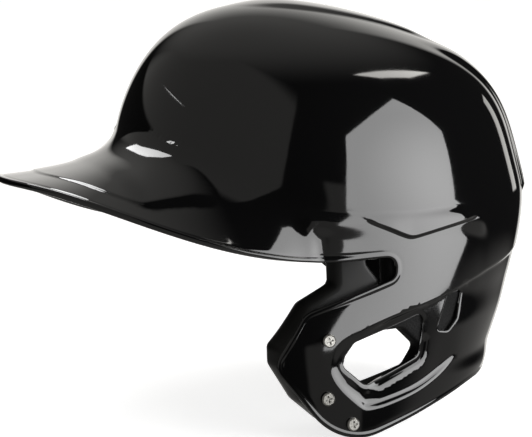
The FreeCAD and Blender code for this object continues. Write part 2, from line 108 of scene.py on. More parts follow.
def dome(angle, z, inset=0.0):
    """Points of the form: angle 0 is the brow, 90 degrees the wearer's left."""
    front, rear, side, centre = section(z, inset)
    y = (rear - front) / 2.0 + centre - (front + rear) / 2.0 * np.cos(angle)
    x = side * np.sin(angle) * (1.0 - NARROWING * np.cos(angle))
    reach = np.maximum(0.0, -y / FLARE_REACH) ** FLARE_POWER * (x > 0.0)
    x = x + JAW_FLARE * smooth_step((FLARE_TOP - z) / FLARE_DROP) * reach * np.sin(angle)
    return np.stack((x, y, z + 0.0 * angle), axis=-1)


def side_angle(y, z, inset=0.0):
    """The angle at which the form passes the given Y on its left side."""
    front, rear, side, centre = section(z, inset)
    return np.arccos(np.clip(((rear - front) / 2.0 + centre - y) / ((front + rear) / 2.0), -1.0, 1.0))


def unit(vectors):
    return vectors / np.maximum(1e-9, np.linalg.norm(vectors, axis=-1, keepdims=True))


def rim_weight(angle):
    """1 along the front of the rim, fading to 0 behind the temples."""
    return 1.0 - slope(np.abs(angle), TEMPLE, BLEND_END)


def bill_edge(turn):
    """The bill's upper edge: turn 0 is the tip, 90 degrees the left temple."""
    across = np.abs(np.sin(turn)) ** PLAN_POWER
    x = BILL_WIDTH * across * np.sign(turn)
    y = BILL_START - BILL_LENGTH * np.abs(np.cos(turn)) ** PLAN_POWER
    rise = np.maximum(0.0, 1.0 - across ** RISE_INNER) ** RISE_OUTER
    return np.stack((x, y, TEMPLE_HEIGHT + (TIP_HEIGHT - TEMPLE_HEIGHT) * rise), axis=-1)


TURNS = np.linspace(0.0, math.pi / 2.0, 400)
EDGES = bill_edge(TURNS)
TURN_ANGLES = np.arctan2(EDGES[:, 0], -(EDGES[:, 1] + FAN_CENTRE - FAN_DRAW * np.sin(TURNS) ** 6))
TURN_ANGLES[0] = 0.0


def root_height(angle):
    return ROOT_SIDE + (ROOT_FRONT - ROOT_SIDE) * np.maximum(0.0, np.cos(angle)) ** 1.2


def bill(angle, share):
    """The bill's upper face from its root on the dome (share 0) to its edge (share 1)."""
    size = np.abs(angle)
    turn = np.interp(size, TURN_ANGLES, TURNS) * np.sign(angle)
    plan = unit(np.stack((np.sin(angle) * HALF_LENGTH, -np.cos(angle) * HALF_WIDTH, 0.0 * angle), axis=-1))
    side_edge = dome(angle, np.full_like(angle, RIM_LEVEL)) + plan * STAND_OFF * rim_weight(angle)[..., None]
    near = slope(size, 0.9 * TEMPLE, TEMPLE)[..., None]
    edge = bill_edge(turn) * (1.0 - near) + side_edge * near
    height = root_height(angle)
    root = dome(angle, height)
    fall = unit(root - dome(angle, height + 2.0))
    away = edge - root
    away[..., 2] = 0.0
    steep = slope(size, STEEP_FROM, TEMPLE)
    outward = unit(unit(away) * (1.0 - steep[..., None]) + plan * steep[..., None])
    dip = np.radians(DIP_FRONT + DIP_ROUND * np.sin(angle) ** 2 + DIP_SIDE * steep)
    level = outward * np.cos(dip)[..., None]
    level[..., 2] -= np.sin(dip)
    edge = edge - level * EDGE_RADIUS
    span = np.linalg.norm(edge - root, axis=-1, keepdims=True)
    s = share[..., None]
    point = root * (2 * s ** 3 - 3 * s ** 2 + 1) + fall * span * ROOT_PULL * (s ** 3 - 2 * s ** 2 + s)
    return point + edge * (3 * s ** 2 - 2 * s ** 3) + level * span * EDGE_PULL * (s ** 3 - s ** 2)


def to_plane(angle, z):
    """A nearly conformal flat map of the form, with the crown at its middle."""
    polar = np.arccos(np.clip((z - EQUATOR) / CROWN, -1.0, 1.0))
    radius = np.where(z >= EQUATOR, np.tan(polar / 2.0), np.exp((EQUATOR - z) / CROWN))
    return np.stack((radius * np.sin(angle), -radius * np.cos(angle)), axis=-1)


def from_plane(flat, inset=0.0):
    radius = np.hypot(flat[..., 0], flat[..., 1])
    angle = np.arctan2(flat[..., 0], -flat[..., 1])
    top = EQUATOR + (CROWN - inset) * np.cos(2.0 * np.arctan(np.minimum(radius, 1.0)))
    z = np.where(radius <= 1.0, top, EQUATOR - CROWN * np.log(np.maximum(radius, 1.0)))
    return angle, z


def form(flat, inset=0.0):
    """Points of the plain form under a flat-map position."""
    return dome(*from_plane(flat, inset), inset)


def shell_base(flat):
    """Points of the shell's outside, bill included and before any surface detail."""
    angle, z = from_plane(flat)
    point = dome(angle, z)
    height = root_height(angle)
    weight = 1.0 - slope(np.abs(angle), FLARE_FADE, BLEND_END)
    share = np.clip((height - z) / (height - RIM_LEVEL), 0.0, 1.0)
    on_bill = (z < height) & (z > RIM_LEVEL - 0.5) & (weight > 0.0)
    if on_bill.any():
        chosen = weight[on_bill][:, None]
        point[on_bill] = point[on_bill] * (1.0 - chosen) + bill(angle[on_bill], share[on_bill]) * chosen
    return point


def differences(surface, flat, step):
    """How far the surface moves from a step before to a step after, both ways on the flat map."""
    return [surface(flat + way) - surface(flat - way) for way in ((step, 0.0), (0.0, step))]


def surface_normal(surface, flat):
    return unit(np.cross(*differences(surface, flat, 1e-4)))


# ---------------- outlines and creases
def rounded(corners, spacing, closed):
    """Evenly spaced points along an outline of (first, second, corner radius)."""
    path = []
    count = len(corners)
    for index, (first, second, radius) in enumerate(corners):
        corner = np.array((first, second))
        if radius == 0.0 or (not closed and index in (0, count - 1)):
            path.append(corner)
            continue
        before = unit(np.array(corners[index - 1][:2]) - corner)
        after = unit(np.array(corners[(index + 1) % count][:2]) - corner)
        half = math.acos(max(-1.0, min(1.0, float(before @ after)))) / 2.0
        centre = corner + unit(before + after) * radius / math.sin(half)
        start = corner + before * radius / math.tan(half) - centre
        end = corner + after * radius / math.tan(half) - centre
        turn = math.atan2(start[0] * end[1] - start[1] * end[0], float(start @ end))
        for share in np.linspace(0.0, 1.0, 13):
            cosine, sine = math.cos(turn * share), math.sin(turn * share)
            path.append(centre + (start[0] * cosine - start[1] * sine, start[0] * sine + start[1] * cosine))
    return respaced(np.array(path), spacing, closed)


def respaced(path, spacing, closed, measure=None):
    """The path again with even steps, measured on the given points where there are any."""
    measure = path if measure is None else measure
    if closed:
        path = np.vstack((path, path[:1]))
        measure = np.vstack((measure, measure[:1]))
    steps = np.linalg.norm(np.diff(measure, axis=0), axis=1)
    run = np.concatenate(([0.0], np.cumsum(steps)))
    count = max(2, int(round(run[-1] / spacing)))
    marks = np.linspace(0.0, run[-1], count + 1)
    if closed:
        marks = marks[:-1]
    return np.stack([np.interp(marks, run, path[:, axis]) for axis in range(path.shape[1])], axis=1)


def left_normals(path, closed):
    """Unit normals to the left of the direction of travel."""
    if closed:
        ahead, behind = np.roll(path, -1, axis=0), np.roll(path, 1, axis=0)
    else:
        ahead = np.vstack((path[1:], 2 * path[-1:] - path[-2:-1]))
        behind = np.vstack((2 * path[:1] - path[1:2], path[:-1]))
    along = unit(ahead - behind)
    return np.column_stack((-along[:, 1], along[:, 0]))


TURNED = np.radians(np.arange(-179, 181, 2))
LEVELS = EQUATOR + CROWN * np.sin(np.radians(np.arange(1, 90, 2)))
LEVELS = np.concatenate((np.arange(-108, EQUATOR, 3), LEVELS))
GRID_ANGLES, GRID_LEVELS = np.meshgrid(TURNED, LEVELS, indexing="ij")
GRID_FLAT = to_plane(GRID_ANGLES, GRID_LEVELS).reshape(-1, 2)


def locate(targets, axes, surface, keep):
    """Flat-map positions whose surface points have the wanted pair of coordinates."""
    grid = surface(GRID_FLAT)
    usable = keep(GRID_FLAT, grid)
    flat_choices, grid = GRID_FLAT[usable], grid[usable][:, axes]
    nearest = np.array([np.argmin(((grid - target) ** 2).sum(axis=1)) for target in targets])
    flat = flat_choices[nearest].copy()
    step = 1e-4
    for _ in range(12):
        here = surface(flat)[:, axes]
        first = (surface(flat + (step, 0.0))[:, axes] - here) / step
        second = (surface(flat + (0.0, step))[:, axes] - here) / step
        miss = targets - here
        area = first[:, 0] * second[:, 1] - first[:, 1] * second[:, 0]
        area = np.where(np.abs(area) < 1.0, 1.0, area)
        move = np.column_stack((
            (miss[:, 0] * second[:, 1] - miss[:, 1] * second[:, 0]) / area,
            (first[:, 0] * miss[:, 1] - first[:, 1] * miss[:, 0]) / area,
        ))
        length = np.linalg.norm(move, axis=1, keepdims=True)
        flat = flat + move * np.minimum(1.0, 0.1 / np.maximum(length, 1e-9))
    return flat


def side_flat(path, inset=0.0, side=1.0):
    """Flat-map positions of (Y, Z) points on one side of the form."""
    path = np.asarray(path, dtype=float)
    return to_plane(side * side_angle(path[:, 0], path[:, 1], inset), path[:, 1])


def plan_flat(path):
    """Flat-map positions of (X, Y) points on the dome's top or the bill."""
    return locate(np.asarray(path, dtype=float), [0, 1], shell_base, lambda flat, point: point[:, 2] > 20.0)


def map_scale(flat):
    """Millimetres on the surface for each unit of the flat map."""
    step = 1e-3
    right, back = [np.linalg.norm(move, axis=1) for move in differences(shell_base, flat, step)]
    return np.sqrt(right * back) / (2.0 * step)


def smoothed(path, spacing, rounds=3):
    """An open path of a few points, rounded off at its corners and evenly spaced."""
    path = np.asarray(path, dtype=float)
    for _ in range(rounds):
        near = path[:-1] * 0.75 + path[1:] * 0.25
        far = path[:-1] * 0.25 + path[1:] * 0.75
        middle = np.column_stack((near, far)).reshape(-1, 2)
        path = np.vstack((path[:1], middle, path[-1:]))
    return respaced(path, spacing, False)


def signed_distance(points, path, closed=False):
    """Distance from a path in millimetres, positive to its left, and the share along it."""
    if closed:
        path = np.vstack((path, path[:1]))
    start, span = path[:-1], np.diff(path, axis=0)
    length = np.linalg.norm(span, axis=1)
    best = np.full(len(points), np.inf)
    signed = np.zeros(len(points))
    share = np.zeros(len(points))
    for index in range(len(span)):
        offset = points - start[index]
        along = np.clip(offset @ span[index] / length[index] ** 2, 0.0, 1.0)
        gap = offset - along[:, None] * span[index]
        distance = np.hypot(gap[:, 0], gap[:, 1])
        side = span[index][0] * offset[:, 1] - span[index][1] * offset[:, 0]
        nearer = distance < best - 1e-9
        best = np.where(nearer, distance, best)
        signed = np.where(nearer, np.copysign(distance, side), signed)
        share = np.where(nearer, (index + along) / len(span), share)
    return signed, share


def signed_area(loop):
    """Twice the area inside a closed loop, positive where it runs anticlockwise."""
    return np.sum(loop[:, 0] * np.roll(loop[:, 1], -1) - loop[:, 1] * np.roll(loop[:, 0], -1))


def inside(points, loop):
    """Even-odd test of points against a closed loop."""
    result = np.zeros(len(points), dtype=bool)
    ahead = np.roll(loop, -1, axis=0)
    x, y = points[:, 0], points[:, 1]
    for (x0, y0), (x1, y1) in zip(loop, ahead):
        if y0 == y1:
            continue
        crosses = (y0 > y) != (y1 > y)
        if crosses.any():
            result[crosses] ^= x[crosses] < x0 + (y[crosses] - y0) * (x1 - x0) / (y1 - y0)
    return result


def within(points, loops):
    """Which points lie inside the first loop and outside the others."""
    result = inside(points, loops[0])
    for loop in loops[1:]:
        result &= ~inside(points, loop)
    return result


# Side outlines are (Y, Z, corner radius); the left one has the notch, the jaw guard and the ear flap.
LEFT_RIM = [
    (-46, -5, 0), (-11.2, -5.4, 5.4), (-11.2, -16.6, 5.4), (-62.6, -32.3, 12),
    (-81.4, -60.4, 10), (-47.9, -107.4, 34), (42, -83.5, 60), (70, -82.3, 0),
]
RIGHT_RIM = [(76, -75.3, 0), (14, -8, 30), (-11, -5.4, 10), (-46, -5, 0)]
EAR_HOLE = [(-36.5, -50, 5), (7.5, -37.5, 4), (3.5, -62.5, 5), (-31, -74.5, 5), (-45.5, -61, 5)]
REAR_SLOT = [(23.6, -31, 1.5), (34.6, -29.2, 1.5), (29.6, -45, 2), (23.4, -51, 2), (15.8, -49.4, 2)]

# Creases on the left side as (Y, Z), travelling so that the lowered ground lies to the left.
RECESS = [
    (100, -13.5), (74.3, -17.4), (47.9, -21.5), (23.8, -28.5), (9.7, -32.1), (-9.7, -36.4), (-27.8, -41.6),
    (-43, -46), (-49.6, -52.5), (-52.3, -60), (-52.3, -66), (-46.9, -75.8), (-36, -86),
    (-31, -88.5), (-11.2, -84.8), (2.3, -81.3), (16.2, -75.3), (28, -68),
]
SHOULDER = [
    (58, 13), (46, 16.5), (34.6, 18.4), (27.2, 19.2), (4.3, 18.9), (-19.5, 20.2), (-39, 21.6),
    (-49.3, 23.1), (-60, 25),
]
CHEVRON = [
    (46, 13.6), (39.9, 12.2), (17.2, 8.8), (4, 6.6), (-1, 5.8), (-4.5, 6.6), (-16.8, 12.7), (-28.9, 18),
    (-34, 20.4),
]
# Creases on the top and the bill as (X, Y).
SPINE = [(2, -66), (16, -54), (27, -36), (34, -14), (37, 8), (37.5, 32), (38.5, 62)]
BILL_FRONT = [
    (0, -174.5), (21.1, -171), (34.1, -164.8), (45.8, -158.2), (54.5, -150.5), (59.8, -143.2),
]
BILL_SIDE = [(61, -142), (61.2, -136.4), (61.4, -128), (62.5, -119.6), (64, -112), (67, -104)]
# The rear panel's edge as (degrees from the brow, Z).
REAR_PANEL = [
    (128, 112), (134, 102), (137.5, 94), (141, 86), (143.5, 79), (145.5, 70), (146.5, 58),
    (146.5, 40), (146, 20), (146, 0),
]

# Mesh steps in millimetres: between points outside and inside, along the rim and round the holes.
SPACING, INNER_SPACING, RIM_STEP, EAR_STEP, SLOT_STEP = 1.6, 4, 1.3, 1, 0.8
ROW_DISTANCES = (0.55, 1.1, 1.6, 2.2, 2.8, 3.5, 4.6)
FAR_FROM_RIM, CREASE_GAP, GRID_GAP = 99.0, 0.9, 0.62

# Heights of the surface detail in millimetres; the recess has (shares of its path, sizes there).
BEAD_RISE, BEAD_GROOVE = 0.45, 0.22
RECESS_WIDTH = ((0, 0.45, 0.52, 0.72, 0.80, 1), (2.2, 2.8, 6.5, 6.5, 3.6, 3))
RECESS_DEPTH = ((0, 0.45, 0.53, 0.68, 0.76, 1), (2, 2, 1.1, 1.1, 2, 2))
SHOULDER_RISE, SHOULDER_EXTRA, CHEVRON_RISE = 0.6, 1, 2
SPINE_RISE, REAR_RISE, LIP_RISE = 1.7, 1.9, 2.4
BILL_RISE, BILL_EXTRA = 0.6, 1.7


def mirrored(path):
    """The same path on the other side, travelling the other way."""
    return [(-first, second) for first, second in reversed(path)]


RECESS_PATH = smoothed(RECESS, 1.5)
SHOULDER_PATH = smoothed(SHOULDER, 1.5)
CHEVRON_PATH = smoothed(CHEVRON, 1.2, rounds=2)
SPINE_PATH = smoothed(SPINE, 3.0)
BILL_PATH = smoothed(mirrored(BILL_SIDE) + mirrored(BILL_FRONT[1:]) + BILL_FRONT + BILL_SIDE, 2.0)


# ---------------- surface detail
def bead(distance):
    """The rolled border, by distance in from the rim."""
    return BEAD_RISE * slope(distance, 2, 0.9) - BEAD_GROOVE * np.exp(-(((distance - 2.4) / 0.7) ** 2))


def side_detail(side, angle):
    """Height of the left side's recess, shoulder and chevron over the plain form."""
    y, z = side[:, 0], side[:, 1]
    signed, share = signed_distance(side, RECESS_PATH)
    fade = (1.0 - slope(y, 10, 36) * slope(z, -28, -53)) * (1.0 - 0.55 * slope(y, 25, 70))
    fade = fade * slope(angle, 2.95, 2.5)
    height = -np.interp(share, *RECESS_DEPTH) * smooth_step(signed / np.interp(share, *RECESS_WIDTH)) * fade
    below, _ = signed_distance(side, SHOULDER_PATH)
    lifted = SHOULDER_RISE + SHOULDER_EXTRA * ((y + 6.0) / 46.0) ** 2 * slope(below, 19, 5)
    ends = slope(y, -66, -52) * slope(y, 58, 44)
    height += lifted * slope(below, 0, 6) * slope(below, 88, 8) * ends
    under, _ = signed_distance(side, CHEVRON_PATH)
    slant = np.clip(below / np.maximum(below - np.minimum(under, 0.0), 1e-6), 0.0, 1.0)
    slant = np.where(below > 0.0, slant, 0.0)
    ends = slope(y, -34, -8) * slope(y, 47, 29)
    height += CHEVRON_RISE * slant * slope(under, 2, 0) * ends
    forward = np.maximum(0.0, -34.0 - y)
    return height - 0.042 * forward ** 2 / (forward + 3.0) * slope(z, -20, -30)


def ear_bevel(side):
    """The edge of the ear hole leans inwards, most of all along its lower side."""
    signed, _ = signed_distance(side, EAR_LOOP, closed=True)
    low = slope(side[:, 1] - 0.30 * (side[:, 0] + 20), -58, -64) * slope(side[:, 0], -30, -22)
    return -(0.15 + 1.5 * low) * (1.0 - smooth_step(signed / (1.6 + 3.0 * low))) * (signed > -3.0)


def spine_detail(plan):
    """The raised spine along the top, by (X, Y)."""
    signed, _ = signed_distance(np.column_stack((np.abs(plan[:, 0]), plan[:, 1])), SPINE_PATH)
    fade = slope(plan[:, 1], -64, -20) * slope(plan[:, 1], 66, 36)
    return SPINE_RISE * slope(signed, 0, 9) * fade


def rear_detail(flat, z):
    """The raised panel at the back, by flat-map position and height."""
    signed, _ = signed_distance(np.column_stack((np.abs(flat[:, 0]), flat[:, 1])), REAR_FLAT)
    return REAR_RISE * slope(signed * MAP_NEAR, 0, 8) * slope(z, 113, 91) * slope(z, 13, 20)


def bill_detail(plan):
    """The raised panel on the bill, by (X, Y)."""
    signed, _ = signed_distance(plan, BILL_PATH)
    sideways = slope(plan[:, 1], -150, -134)
    width = 1.6 + 4.6 * sideways
    fade = slope(signed, 46, 4) * slope(plan[:, 1], -98, -116)
    return (BILL_RISE + BILL_EXTRA * sideways) * smooth_step((signed + width) / width) * fade


def detail(flat, point):
    """Height of all the surface detail over the plain shell."""
    angle, z = from_plane(flat)
    height = np.zeros(len(flat))
    left = (point[:, 0] > 0.0) & (z < 45.0) & ((z < RIM_LEVEL) | (angle > 0.9))
    side = np.column_stack((dome(angle, z)[:, 1], z))[left]
    height[left] += side_detail(side, angle[left]) + ear_bevel(side)
    top = z > 40.0
    height[top] += spine_detail(point[top][:, :2])
    back = (np.abs(angle) > 2.0) & (z > 8.0)
    height[back] += rear_detail(flat[back], z[back])
    height += LIP_RISE * slope(z, -64, -81) * (slope(angle, 1.75, 2.35) + slope(-angle, 2.45, 2.8))
    on_bill = (np.abs(angle) < 1.15) & (z < root_height(angle)) & (z > RIM_LEVEL - 0.5)
    height[on_bill] += bill_detail(point[on_bill][:, :2])
    return height


MAP_NEAR = 90.0
REAR_FLAT = smoothed([to_plane(math.radians(turn), level) for turn, level in REAR_PANEL], 0.02)


# ---------------- the shell's mesh
def rim_side(corners, side):
    """One side's rim as flat-map points, drawn in by the rounding of the edge."""
    path = rounded(corners, 1.0, False)
    path = path + left_normals(path, False) * (EDGE_RADIUS * side)
    angle = side_angle(path[:, 0], path[:, 1])
    near_rim = path[:, 1] > -9.0
    path[:, 1] -= np.where(near_rim, EDGE_RADIUS * rim_weight(angle), 0.0)
    return to_plane(side * angle, path[:, 1])


def rim_loop():
    left = rim_side(LEFT_RIM, 1.0)
    right = rim_side(RIGHT_RIM, -1.0)
    first, first_level = from_plane(left[-1:])
    last, last_level = from_plane(right[:1])
    share = np.linspace(0.0, 1.0, 40)[1:-1]
    angles = first + (last + 2.0 * math.pi - first) * share
    levels = first_level + (last_level - first_level) * smooth_step(share)
    nape = to_plane(angles, levels)
    start, _ = from_plane(right[-1:])
    end, _ = from_plane(left[:1])
    angles = np.linspace(start[0], end[0], 600)[1:-1]
    front = to_plane(angles, np.full_like(angles, RIM_LEVEL))
    return np.vstack((front, left, nape, right))


def even(flat, spacing):
    return respaced(flat, spacing, True, shell_base(flat))


def hole_loop(corners):
    """A hole's edge in (Y, Z), drawn back by the rounding, the shell to the left of travel."""
    path = rounded(corners, 0.8, True)
    path = path if signed_area(path) < 0.0 else path[::-1]
    return path + left_normals(path, True) * EDGE_RADIUS


def offset_rows(flat):
    """Rows of points that follow a loop at even distances into the shell."""
    normals = left_normals(flat, True)
    scale = map_scale(flat)[:, None]
    return [flat + normals * (distance / scale) for distance in ROW_DISTANCES]


MEAN_RADIUS, LOWEST = 115.0, -110.0
ROW_RATIO = 0.87  # rows of near-equal triangles are this share of the step apart


def ring_points(spacing):
    """Points over the whole flat map, evenly spread on the surface."""
    step = spacing * ROW_RATIO
    polar = np.arange(0.6 * spacing, 0.5 * math.pi * MEAN_RADIUS, step) / MEAN_RADIUS
    levels = np.concatenate((EQUATOR + CROWN * np.cos(polar), np.arange(EQUATOR, LOWEST, -step)))
    turns = np.linspace(-math.pi, math.pi, 721)
    rings = []
    for index, level in enumerate(levels):
        ring = shell_base(to_plane(turns, np.full_like(turns, level)))
        run = np.concatenate(([0.0], np.cumsum(np.linalg.norm(np.diff(ring, axis=0), axis=1))))
        count = max(6, int(run[-1] / spacing))
        marks = (np.arange(count) + 0.5 * (index % 2)) * run[-1] / count
        rings.append(to_plane(np.interp(marks, run, turns), np.full(count, level)))
    return np.vstack(rings)


def clear_of(points, taken, gap):
    """The points whose place on the shell is farther than the gap from those already taken."""
    tree = kdtree.KDTree(len(taken))
    for index, position in enumerate(shell_base(taken)):
        tree.insert(position, index)
    tree.balance()
    places = shell_base(points)
    keep = [tree.find(place)[2] > gap for place in places.tolist()]
    return points[np.array(keep)]


def triangulated(points, loops):
    """Triangles over the points that lie inside the first loop and outside the others."""
    scale = 100.0
    edges = []
    start = 0
    for loop in loops:
        count = len(loop)
        edges += [(start + index, start + (index + 1) % count) for index in range(count)]
        start += count
    result = delaunay_2d_cdt([Vector(point) for point in (points * scale).tolist()], edges, [], 0, 1e-6)
    flat = np.array([tuple(vertex) for vertex in result[0]]) / scale
    faces = np.array(result[2])
    source = np.array([origins[0] if origins else -1 for origins in result[3]])
    keep = within(flat[faces].mean(axis=1), loops)
    # a sliver between neighbours on one loop lies outside where it runs against the loop's travel
    corners = source[faces]
    owner = np.searchsorted(np.cumsum([len(loop) for loop in loops]), corners, side="right")
    one_loop = (corners >= 0).all(axis=1) & (owner == owner[:, :1]).all(axis=1) & (owner[:, 0] < len(loops))
    rising = (corners < np.roll(corners, -1, axis=1)).sum(axis=1)
    keep &= ~(one_loop & (rising == 1))
    return flat, faces[keep], source


def sheet(loops, creases, spacing):
    """A triangulated sheet over the flat map, with each point's distance in from the rim."""
    taken = list(loops) + [row for loop in loops for row in offset_rows(loop)]
    if creases is not None:
        creases = creases[within(creases, loops)]
        taken.append(clear_of(creases, np.vstack(taken), CREASE_GAP))
    grid = ring_points(spacing)
    taken.append(clear_of(grid[within(grid, loops)], np.vstack(taken), GRID_GAP * spacing))
    distances = np.full(sum(map(len, taken)), FAR_FROM_RIM)
    count, first_row = len(loops[0]), sum(map(len, loops))
    distances[:count] = 0.0
    distances[first_row:first_row + count * len(ROW_DISTANCES)] = np.repeat(ROW_DISTANCES, count)
    flat, faces, source = triangulated(np.vstack(taken), loops)
    return flat, faces, source, np.where(source >= 0, distances[source], FAR_FROM_RIM)


EAR_LOOP = hole_loop(EAR_HOLE)
EDGE_TURNS = (22.5, 45.0, 67.5, 90.0)


def crease_points():
    """Rows of points along both sides of each crease, so that its slopes stay crisp."""
    rows = []
    for path, distances in (
        (RECESS_PATH, (-0.7, 0.0, 0.7, 1.4, 2.2, 3.2, 4.4)),
        (SHOULDER_PATH, (-0.6, 0.0, 0.8, 1.6, 2.4, 3.2)),
        (CHEVRON_PATH, (-1.4, -0.7, 0.0, 0.5, 1.0, 1.5, 2.0, 2.7, 3.5)),
    ):
        normals = left_normals(path, False)
        rows += [side_flat(path + normals * distance) for distance in distances]
    normals = left_normals(BILL_PATH, False)
    distances = (-6.2, -4.6, -3.1, -1.6, -0.8, 0.0, 0.9)
    rows += [plan_flat(BILL_PATH + normals * distance) for distance in distances]
    turns = np.radians(np.arange(-68.0, 68.1, 0.8))
    rows += [to_plane(turns, root_height(turns) + lift) for lift in (-4.5, -3.0, -1.5, 0.0, 1.5, 3.0)]
    return np.vstack(rows)


def by_source(source, numbers):
    """Where each of the numbered first points went in the triangulated sheet."""
    order = np.argsort(source)
    return order[np.searchsorted(source, numbers, sorter=order)]


def shell_mesh():
    """The closed wall: detailed outside, plain inside, and rounded edges between their loops."""
    loops = [even(rim_loop(), RIM_STEP), even(side_flat(EAR_LOOP), EAR_STEP),
             even(side_flat(hole_loop(REAR_SLOT)), SLOT_STEP)]
    flat, faces, source, distance = sheet(loops, crease_points(), SPACING)
    base, normal = shell_base(flat), surface_normal(shell_base, flat)
    angle, level = from_plane(flat)
    brow_share = 0.3 + 0.7 * slope(level, -9, -6) * slope(np.abs(angle), 1.4, 1.15)
    outer = base + normal * (detail(flat, base) + bead(distance) * brow_share)[:, None]
    in_flat, in_faces, in_source, _ = sheet(loops, None, INNER_SPACING)
    inner = shell_base(in_flat) - surface_normal(shell_base, in_flat) * WALL
    vertices = [outer, inner]
    polygons = faces.tolist() + (in_faces[:, ::-1] + len(outer)).tolist()
    total, start = len(outer) + len(inner), 0
    for loop in loops:
        numbers = np.arange(start, start + len(loop))
        start += len(loop)
        out_index, in_index = by_source(source, numbers), by_source(in_source, numbers)
        up = normal[out_index]
        along = unit(np.roll(base[out_index], -1, axis=0) - np.roll(base[out_index], 1, axis=0))
        away = np.cross(along, up)
        rows = [out_index]
        sides = (outer[out_index], -up, EDGE_TURNS), (inner[in_index], up, EDGE_TURNS[::-1])
        for origin, lift, turns in sides:
            for turn in np.radians(turns):
                row = origin + (away * math.sin(turn) + lift * (1.0 - math.cos(turn))) * EDGE_RADIUS
                vertices.append(row)
                rows.append(np.arange(total, total + len(row)))
                total += len(row)
        rows.append(in_index + len(outer))
        for near, far in zip(rows[:-1], rows[1:]):
            polygons += np.column_stack((np.roll(near, -1), near, far, np.roll(far, -1))).tolist()
    return np.vstack(vertices), polygons


def plain_mesh(name, vertices, polygons):
    mesh = bpy.data.meshes.new(name)
    mesh.from_pydata((vertices / 1000.0).tolist(), [], polygons)
    return mesh


def build(name, vertices, polygons, material, slot_name):
    """A smooth mesh object from points in millimetres."""
    mesh = plain_mesh(name, vertices, polygons)
    mesh.validate()
    mesh.shade_smooth()
    mesh.materials.append(material)
    piece = bpy.data.objects.new(name, mesh)
    bpy.context.collection.objects.link(piece)
    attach(piece, "root")
    return piece


# ---------------- materials
def add_node(tree, kind, inputs=(), **settings):
    """A shader node with its settings, and its inputs set to numbers or linked to sockets."""
    node = tree.nodes.new("ShaderNode" + kind)
    for name, value in settings.items():
        setattr(node, name, value)
    for name, value in dict(inputs).items():
        if isinstance(value, bpy.types.NodeSocket):
            tree.links.new(value, node.inputs[name])
        else:
            node.inputs[name].default_value = value
    return node


def new_material(name, colour, roughness, **more):
    """A material with its shader's own sockets set, returned with its node tree and shader."""
    material = bpy.data.materials.new(name)
    material.use_nodes = True
    tree = material.node_tree
    shader = tree.nodes["Principled BSDF"]
    shader.inputs["Base Color"].default_value = (*colour, 1.0)
    shader.inputs["Roughness"].default_value = roughness
    for label, value in more.items():
        shader.inputs[label.replace("_", " ")].default_value = value
    return material, tree, shader


def object_place(tree):
    return add_node(tree, "TexCoord").outputs["Object"]


def mottled(tree, shader, place, scale, detail, window, low, high):
    """Roughness that varies between two values by noise over the object's own coordinates."""
    noise = add_node(tree, "TexNoise", {"Vector": place, "Scale": scale, "Detail": detail})
    spread = add_node(tree, "MapRange", {"Value": noise.outputs["Fac"], "From Min": window[0],
                                         "From Max": window[1], "To Min": low, "To Max": high})
    tree.links.new(spread.outputs["Result"], shader.inputs["Roughness"])


def bumped(tree, shader, height, strength, distance):
    bump = add_node(tree, "Bump", {"Height": height, "Strength": strength, "Distance": distance})
    tree.links.new(bump.outputs["Normal"], shader.inputs["Normal"])


def grained(name, colour, roughness, spread, mottle, texture, bump, **more):
    """Roughness mottled between two values, and a fine texture pressed in as a bump."""
    material, tree, shader = new_material(name, colour, roughness, **more)
    place = object_place(tree)
    mottled(tree, shader, place, *mottle, roughness + spread[0], roughness + spread[1])
    kind, output, inputs = texture
    grain = add_node(tree, kind, {"Vector": place, **inputs})
    bumped(tree, shader, grain.outputs[output], *bump)
    return material


def gloss_plastic():
    """Black moulded plastic: deep gloss, a faint orange peel and a little haze."""
    peel = ("TexNoise", "Fac", {"Scale": 160.0, "Detail": 2.0})
    return grained("gloss_black", (0.002, 0.002, 0.0021), 0.05, (-0.015, 0.035),
                   (26.0, 6.0, (0.35, 0.75)), peel, (0.02, 0.0004), IOR=1.5)


def moulded(name, colour, roughness, grain, depth):
    """Moulded plastic or closed-cell foam with a fine grain."""
    cells = ("TexVoronoi", "Distance", {"Scale": grain})
    return grained(name, colour, roughness, (-0.06, 0.08), (40.0, 5.0, EVEN_WINDOW), cells, (depth, 0.0006),
                   Specular_IOR_Level=0.18)


def plated_steel(name, roughness):
    """Plated steel with fine scratches."""
    scratches = ("TexNoise", "Fac", {"Scale": 1500.0})
    return grained(name, (0.24, 0.235, 0.22), roughness, (-0.08, 0.12), (900.0, 3.0, EVEN_WINDOW), scratches,
                   (0.12, 0.0002), Metallic=1.0)


def knitted(name):
    """Black spacer mesh: rows of small open loops over a dark ground."""
    material, tree, shader = new_material(name, (0.016, 0.016, 0.018), 0.88, Sheen_Weight=0.35,
                                          Sheen_Roughness=0.45)
    inputs = {"Vector": object_place(tree), "Scale": 420.0, "Randomness": 0.15}
    knit = add_node(tree, "TexVoronoi", inputs, feature="SMOOTH_F1")
    tone = add_node(tree, "ValToRGB", {"Fac": knit.outputs["Distance"]})
    for stop, position, colour in zip(tone.color_ramp.elements, (0.15, 0.6), (KNIT_GROUND, KNIT_LOOP)):
        stop.position = position
        stop.color = colour
    tree.links.new(tone.outputs["Color"], shader.inputs["Base Color"])
    bumped(tree, shader, knit.outputs["Distance"], 0.6, 0.0007)
    return material


